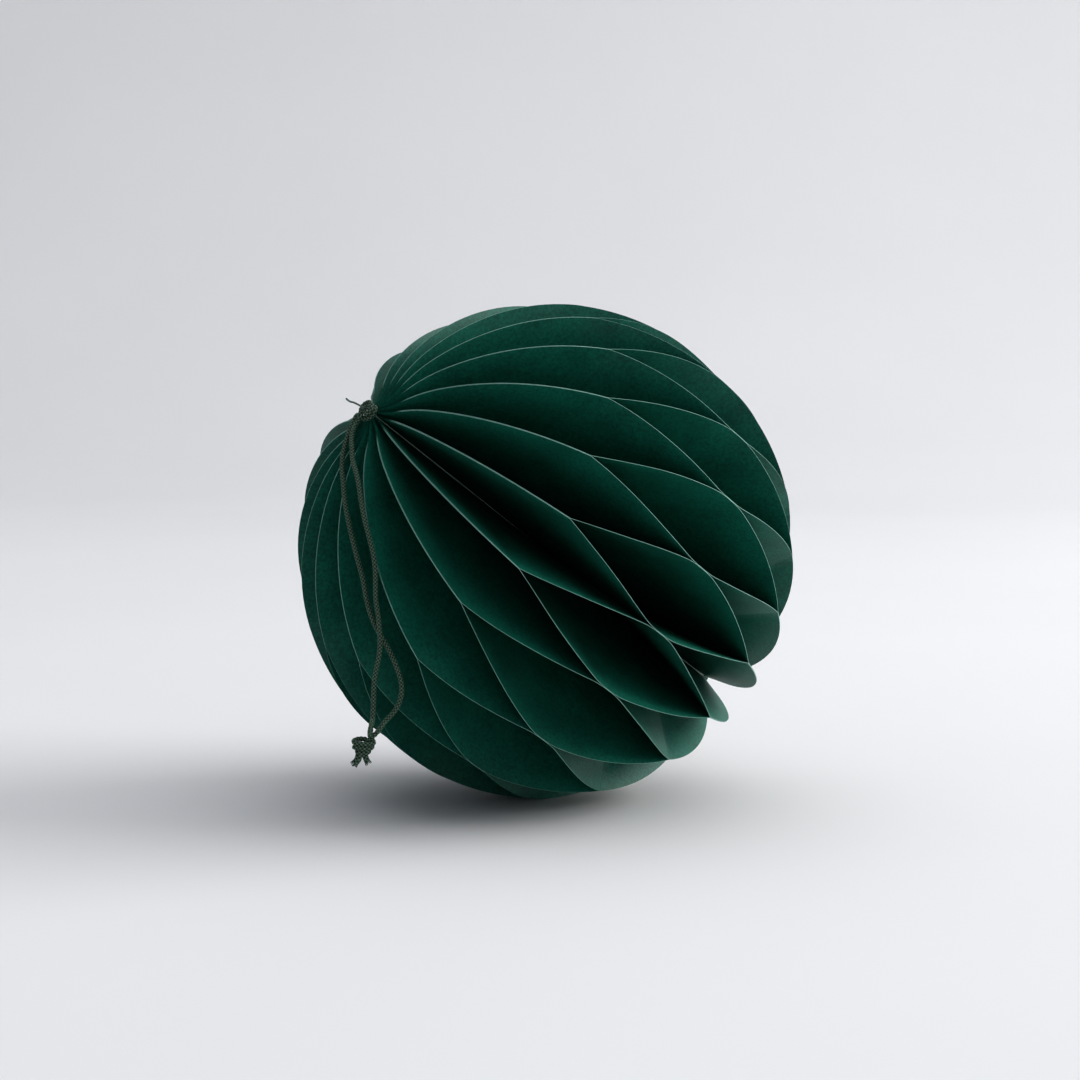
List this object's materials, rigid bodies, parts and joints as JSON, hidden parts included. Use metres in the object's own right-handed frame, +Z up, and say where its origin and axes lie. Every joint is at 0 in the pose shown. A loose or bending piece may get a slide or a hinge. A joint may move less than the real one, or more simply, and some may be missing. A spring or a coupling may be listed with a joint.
{
  "type": "paper honeycomb ball",
  "caption": "Round hanging paper ornament of half-round sheets fanned about a sewn spine and glued in turn, with a knotted cord loop at one pole; shown lying on its side.",
  "frame": {"origin": "on the surface that the ball lies on, straight below its centre", "axes": "+Z up; +X to the right and +Y away from someone who faces the ball with the corded pole at upper left and towards them; the spine leans 35 degrees above the surface"},
  "size_m": [0.1496, 0.1499, 0.1494],
  "materials": {
    "green_paper": "matte, through-dyed dark green, faint fibre grain",
    "waxed_cord": "tight grey-green braid with a dull wax sheen",
    "sewing_thread": "stiff waxed grey-green thread",
    "adhesive_tape": "pale double-sided tape"
  },
  "bodies": {
    "spine": {"sheet_20": "green_paper", "spine_thread": "sewing_thread", "thread_knot": "sewing_thread", "pole_knot": "waxed_cord", "thread_tail": "sewing_thread", "cord_strand_front": "waxed_cord", "cord_strand_back": "waxed_cord", "end_knot": "waxed_cord", "cord_tail_left": "waxed_cord", "cord_tail_right": "waxed_cord"},
    "sheet_01": {"sheet_01": "green_paper"},
    "sheet_02": {"sheet_02": "green_paper"},
    "sheet_03": {"sheet_03": "green_paper"},
    "sheet_04": {"sheet_04": "green_paper"},
    "sheet_05": {"sheet_05": "green_paper"},
    "sheet_06": {"sheet_06": "green_paper"},
    "sheet_07": {"sheet_07": "green_paper"},
    "sheet_08": {"sheet_08": "green_paper"},
    "sheet_09": {"sheet_09": "green_paper"},
    "sheet_10": {"sheet_10": "green_paper"},
    "sheet_11": {"sheet_11": "green_paper"},
    "sheet_12": {"sheet_12": "green_paper"},
    "sheet_13": {"sheet_13": "green_paper"},
    "sheet_14": {"sheet_14": "green_paper"},
    "sheet_15": {"sheet_15": "green_paper"},
    "sheet_16": {"sheet_16": "green_paper"},
    "sheet_17": {"sheet_17": "green_paper"},
    "sheet_18": {"sheet_18": "green_paper"},
    "sheet_19": {"sheet_19": "green_paper"},
    "sheet_21": {"sheet_21": "green_paper"},
    "sheet_22": {"sheet_22": "green_paper"},
    "sheet_23": {"sheet_23": "green_paper"},
    "sheet_24": {"sheet_24": "green_paper"},
    "sheet_25": {"sheet_25": "green_paper"},
    "sheet_26": {"sheet_26": "green_paper"},
    "sheet_27": {"sheet_27": "green_paper"},
    "sheet_28": {"sheet_28": "green_paper"},
    "sheet_29": {"sheet_29": "green_paper"},
    "sheet_30": {"sheet_30": "green_paper"},
    "sheet_31": {"sheet_31": "green_paper"},
    "sheet_32": {"sheet_32": "green_paper"},
    "sheet_33": {"sheet_33": "green_paper"},
    "sheet_34": {"sheet_34": "green_paper"},
    "sheet_35": {"sheet_35": "green_paper"},
    "sheet_36": {"sheet_36": "green_paper"},
    "sheet_37": {"sheet_37": "green_paper"},
    "sheet_38": {"sheet_38": "green_paper"},
    "sheet_39": {"sheet_39": "green_paper"},
    "sheet_40": {"sheet_40": "green_paper", "closure_strip": "adhesive_tape"}
  },
  "joints": [
    {"name": "fold_20_21", "type": "hinge", "parent": "spine", "child": "sheet_21", "pos_m": [-0.00051, -0.00109, 0.07328], "axis": [-0.6703, -0.4699, 0.5744], "range_deg": [0, 11.8], "deforming": ["sheet_21", "sheet_20"]},
    {"name": "fold_21_22", "type": "hinge", "parent": "sheet_21", "child": "sheet_22", "pos_m": [-0.00079, -0.00078, 0.07321], "axis": [-0.6703, -0.4699, 0.5744], "range_deg": [0, 9.04], "deforming": ["sheet_22"]},
    {"name": "fold_22_23", "type": "hinge", "parent": "sheet_22", "child": "sheet_23", "pos_m": [-0.00097, -0.00052, 0.07321], "axis": [-0.6703, -0.4699, 0.5744], "range_deg": [0, 8.24], "deforming": ["sheet_23"]},
    {"name": "fold_23_24", "type": "hinge", "parent": "sheet_23", "child": "sheet_24", "pos_m": [-0.00112, -0.00027, 0.07324], "axis": [-0.6703, -0.4699, 0.5744], "range_deg": [0, 8.15], "deforming": ["sheet_24"]},
    {"name": "fold_24_25", "type": "hinge", "parent": "sheet_24", "child": "sheet_25", "pos_m": [-0.00123, -0.00002, 0.07331], "axis": [-0.6703, -0.4699, 0.5744], "range_deg": [0, 8.15], "deforming": ["sheet_25"]},
    {"name": "fold_25_26", "type": "hinge", "parent": "sheet_25", "child": "sheet_26", "pos_m": [-0.00133, 0.00023, 0.07341], "axis": [-0.6703, -0.4699, 0.5744], "range_deg": [0, 8.05], "deforming": ["sheet_26"]},
    {"name": "fold_26_27", "type": "hinge", "parent": "sheet_26", "child": "sheet_27", "pos_m": [-0.00139, 0.00048, 0.07354], "axis": [-0.6703, -0.4699, 0.5744], "range_deg": [0, 8.15], "deforming": ["sheet_27"]},
    {"name": "fold_27_28", "type": "hinge", "parent": "sheet_27", "child": "sheet_28", "pos_m": [-0.00142, 0.00071, 0.0737], "axis": [-0.6703, -0.4699, 0.5744], "range_deg": [0, 8.15], "deforming": ["sheet_28"]},
    {"name": "fold_28_29", "type": "hinge", "parent": "sheet_28", "child": "sheet_29", "pos_m": [-0.00141, 0.00093, 0.07388], "axis": [-0.6703, -0.4699, 0.5744], "range_deg": [0, 8.15], "deforming": ["sheet_29"]},
    {"name": "fold_29_30", "type": "hinge", "parent": "sheet_29", "child": "sheet_30", "pos_m": [-0.00138, 0.00113, 0.07408], "axis": [-0.6703, -0.4699, 0.5744], "range_deg": [0, 8.15], "deforming": ["sheet_30"]},
    {"name": "fold_30_31", "type": "hinge", "parent": "sheet_30", "child": "sheet_31", "pos_m": [-0.00131, 0.00131, 0.0743], "axis": [-0.6703, -0.4699, 0.5744], "range_deg": [0, 8.24], "deforming": ["sheet_31"]},
    {"name": "fold_31_32", "type": "hinge", "parent": "sheet_31", "child": "sheet_32", "pos_m": [-0.00122, 0.00145, 0.07453], "axis": [-0.6703, -0.4699, 0.5744], "range_deg": [0, 8.24], "deforming": ["sheet_32"]},
    {"name": "fold_32_33", "type": "hinge", "parent": "sheet_32", "child": "sheet_33", "pos_m": [-0.0011, 0.00157, 0.07477], "axis": [-0.6703, -0.4699, 0.5744], "range_deg": [0, 8.24], "deforming": ["sheet_33"]},
    {"name": "fold_33_34", "type": "hinge", "parent": "sheet_33", "child": "sheet_34", "pos_m": [-0.00095, 0.00164, 0.07501], "axis": [-0.6703, -0.4699, 0.5744], "range_deg": [0, 8.34], "deforming": ["sheet_34"]},
    {"name": "fold_34_35", "type": "hinge", "parent": "sheet_34", "child": "sheet_35", "pos_m": [-0.00077, 0.00168, 0.07524], "axis": [-0.6703, -0.4699, 0.5744], "range_deg": [0, 8.34], "deforming": ["sheet_35"]},
    {"name": "fold_35_36", "type": "hinge", "parent": "sheet_35", "child": "sheet_36", "pos_m": [-0.00058, 0.00168, 0.07546], "axis": [-0.6703, -0.4699, 0.5744], "range_deg": [0, 8.43], "deforming": ["sheet_36"]},
    {"name": "fold_36_37", "type": "hinge", "parent": "sheet_36", "child": "sheet_37", "pos_m": [-0.00038, 0.00164, 0.07567], "axis": [-0.6703, -0.4699, 0.5744], "range_deg": [0, 8.53], "deforming": ["sheet_37"]},
    {"name": "fold_37_38", "type": "hinge", "parent": "sheet_37", "child": "sheet_38", "pos_m": [-0.00016, 0.00156, 0.07586], "axis": [-0.6703, -0.4699, 0.5744], "range_deg": [0, 8.53], "deforming": ["sheet_38"]},
    {"name": "fold_38_39", "type": "hinge", "parent": "sheet_38", "child": "sheet_39", "pos_m": [0.00006, 0.00144, 0.07602], "axis": [-0.6703, -0.4699, 0.5744], "range_deg": [0, 8.53], "deforming": ["sheet_39"]},
    {"name": "fold_39_40", "type": "hinge", "parent": "sheet_39", "child": "sheet_40", "pos_m": [0.00029, 0.00129, 0.07615], "axis": [-0.6703, -0.4699, 0.5744], "range_deg": [0, 8.53], "deforming": ["sheet_40"]},
    {"name": "fold_20_19", "type": "hinge", "parent": "spine", "child": "sheet_19", "pos_m": [-0.0003, -0.00128, 0.07338], "axis": [0.6703, 0.4699, -0.5744], "range_deg": [0, 10.6], "deforming": ["sheet_19"]},
    {"name": "fold_19_18", "type": "hinge", "parent": "sheet_19", "child": "sheet_18", "pos_m": [-0.00002, -0.00147, 0.07354], "axis": [0.6703, 0.4699, -0.5744], "range_deg": [0, 8.69], "deforming": ["sheet_18"]},
    {"name": "fold_18_17", "type": "hinge", "parent": "sheet_18", "child": "sheet_17", "pos_m": [0.0002, -0.00158, 0.07371], "axis": [0.6703, 0.4699, -0.5744], "range_deg": [0, 9.32], "deforming": ["sheet_17"]},
    {"name": "fold_17_16", "type": "hinge", "parent": "sheet_17", "child": "sheet_16", "pos_m": [0.00044, -0.00166, 0.07393], "axis": [0.6703, 0.4699, -0.5744], "range_deg": [0, 7.1], "deforming": ["sheet_16"]},
    {"name": "fold_16_15", "type": "hinge", "parent": "sheet_16", "child": "sheet_15", "pos_m": [0.00061, -0.00169, 0.07411], "axis": [0.6703, 0.4699, -0.5744], "range_deg": [0, 8.43], "deforming": ["sheet_15"]},
    {"name": "fold_15_14", "type": "hinge", "parent": "sheet_15", "child": "sheet_14", "pos_m": [0.00081, -0.00168, 0.07433], "axis": [0.6703, 0.4699, -0.5744], "range_deg": [0, 8.06], "deforming": ["sheet_14"]},
    {"name": "fold_14_13", "type": "hinge", "parent": "sheet_14", "child": "sheet_13", "pos_m": [0.00097, -0.00163, 0.07456], "axis": [0.6703, 0.4699, -0.5744], "range_deg": [0, 7.66], "deforming": ["sheet_13"]},
    {"name": "fold_13_12", "type": "hinge", "parent": "sheet_13", "child": "sheet_12", "pos_m": [0.00111, -0.00156, 0.07478], "axis": [0.6703, 0.4699, -0.5744], "range_deg": [0, 8.29], "deforming": ["sheet_12"]},
    {"name": "fold_12_11", "type": "hinge", "parent": "sheet_12", "child": "sheet_11", "pos_m": [0.00123, -0.00144, 0.07502], "axis": [0.6703, 0.4699, -0.5744], "range_deg": [0, 8.25], "deforming": ["sheet_11"]},
    {"name": "fold_11_10", "type": "hinge", "parent": "sheet_11", "child": "sheet_10", "pos_m": [0.00132, -0.00129, 0.07525], "axis": [0.6703, 0.4699, -0.5744], "range_deg": [0, 9.13], "deforming": ["sheet_10"]},
    {"name": "fold_10_09", "type": "hinge", "parent": "sheet_10", "child": "sheet_09", "pos_m": [0.00139, -0.0011, 0.07549], "axis": [0.6703, 0.4699, -0.5744], "range_deg": [0, 8.05], "deforming": ["sheet_09"]},
    {"name": "fold_09_08", "type": "hinge", "parent": "sheet_09", "child": "sheet_08", "pos_m": [0.00142, -0.00089, 0.07569], "axis": [0.6703, 0.4699, -0.5744], "range_deg": [0, 10.04], "deforming": ["sheet_08"]},
    {"name": "fold_08_07", "type": "hinge", "parent": "sheet_08", "child": "sheet_07", "pos_m": [0.00141, -0.00061, 0.07591], "axis": [0.6703, 0.4699, -0.5744], "range_deg": [0, 8.71], "deforming": ["sheet_07"]},
    {"name": "fold_07_06", "type": "hinge", "parent": "sheet_07", "child": "sheet_06", "pos_m": [0.00136, -0.00036, 0.07606], "axis": [0.6703, 0.4699, -0.5744], "range_deg": [0, 8.81], "deforming": ["sheet_06"]},
    {"name": "fold_06_05", "type": "hinge", "parent": "sheet_06", "child": "sheet_05", "pos_m": [0.00128, -0.00008, 0.07619], "axis": [0.6703, 0.4699, -0.5744], "range_deg": [0, 8.05], "deforming": ["sheet_05"]},
    {"name": "fold_05_04", "type": "hinge", "parent": "sheet_05", "child": "sheet_04", "pos_m": [0.00117, 0.00017, 0.07627], "axis": [0.6703, 0.4699, -0.5744], "range_deg": [0, 8.34], "deforming": ["sheet_04"]},
    {"name": "fold_04_03", "type": "hinge", "parent": "sheet_04", "child": "sheet_03", "pos_m": [0.00103, 0.00042, 0.07632], "axis": [0.6703, 0.4699, -0.5744], "range_deg": [0, 8.24], "deforming": ["sheet_03"]},
    {"name": "fold_03_02", "type": "hinge", "parent": "sheet_03", "child": "sheet_02", "pos_m": [0.00088, 0.00066, 0.07633], "axis": [0.6703, 0.4699, -0.5744], "range_deg": [0, 8.34], "deforming": ["sheet_02"]},
    {"name": "fold_02_01", "type": "hinge", "parent": "sheet_02", "child": "sheet_01", "pos_m": [0.00069, 0.00089, 0.07631], "axis": [0.6703, 0.4699, -0.5744], "range_deg": [0, 8.24], "deforming": ["sheet_01"]}
  ],
  "couplings": [
    {"joint": "fold_21_22", "follows": "fold_20_21", "ratio": 0.7657},
    {"joint": "fold_22_23", "follows": "fold_20_21", "ratio": 0.6982},
    {"joint": "fold_23_24", "follows": "fold_20_21", "ratio": 0.6902},
    {"joint": "fold_24_25", "follows": "fold_20_21", "ratio": 0.6902},
    {"joint": "fold_25_26", "follows": "fold_20_21", "ratio": 0.6822},
    {"joint": "fold_26_27", "follows": "fold_20_21", "ratio": 0.6902},
    {"joint": "fold_27_28", "follows": "fold_20_21", "ratio": 0.6902},
    {"joint": "fold_28_29", "follows": "fold_20_21", "ratio": 0.6902},
    {"joint": "fold_29_30", "follows": "fold_20_21", "ratio": 0.6902},
    {"joint": "fold_30_31", "follows": "fold_20_21", "ratio": 0.6982},
    {"joint": "fold_31_32", "follows": "fold_20_21", "ratio": 0.6982},
    {"joint": "fold_32_33", "follows": "fold_20_21", "ratio": 0.6982},
    {"joint": "fold_33_34", "follows": "fold_20_21", "ratio": 0.7063},
    {"joint": "fold_34_35", "follows": "fold_20_21", "ratio": 0.7063},
    {"joint": "fold_35_36", "follows": "fold_20_21", "ratio": 0.7143},
    {"joint": "fold_36_37", "follows": "fold_20_21", "ratio": 0.7223},
    {"joint": "fold_37_38", "follows": "fold_20_21", "ratio": 0.7223},
    {"joint": "fold_38_39", "follows": "fold_20_21", "ratio": 0.7223},
    {"joint": "fold_39_40", "follows": "fold_20_21", "ratio": 0.7223},
    {"joint": "fold_20_19", "follows": "fold_20_21", "ratio": 0.8981},
    {"joint": "fold_19_18", "follows": "fold_20_21", "ratio": 0.736},
    {"joint": "fold_18_17", "follows": "fold_20_21", "ratio": 0.7897},
    {"joint": "fold_17_16", "follows": "fold_20_21", "ratio": 0.6019},
    {"joint": "fold_16_15", "follows": "fold_20_21", "ratio": 0.7143},
    {"joint": "fold_15_14", "follows": "fold_20_21", "ratio": 0.683},
    {"joint": "fold_14_13", "follows": "fold_20_21", "ratio": 0.6493},
    {"joint": "fold_13_12", "follows": "fold_20_21", "ratio": 0.7022},
    {"joint": "fold_12_11", "follows": "fold_20_21", "ratio": 0.699},
    {"joint": "fold_11_10", "follows": "fold_20_21", "ratio": 0.7737},
    {"joint": "fold_10_09", "follows": "fold_20_21", "ratio": 0.6822},
    {"joint": "fold_09_08", "follows": "fold_20_21", "ratio": 0.8507},
    {"joint": "fold_08_07", "follows": "fold_20_21", "ratio": 0.7384},
    {"joint": "fold_07_06", "follows": "fold_20_21", "ratio": 0.7464},
    {"joint": "fold_06_05", "follows": "fold_20_21", "ratio": 0.6822},
    {"joint": "fold_05_04", "follows": "fold_20_21", "ratio": 0.7063},
    {"joint": "fold_04_03", "follows": "fold_20_21", "ratio": 0.6982},
    {"joint": "fold_03_02", "follows": "fold_20_21", "ratio": 0.7063},
    {"joint": "fold_02_01", "follows": "fold_20_21", "ratio": 0.6982}
  ]
}
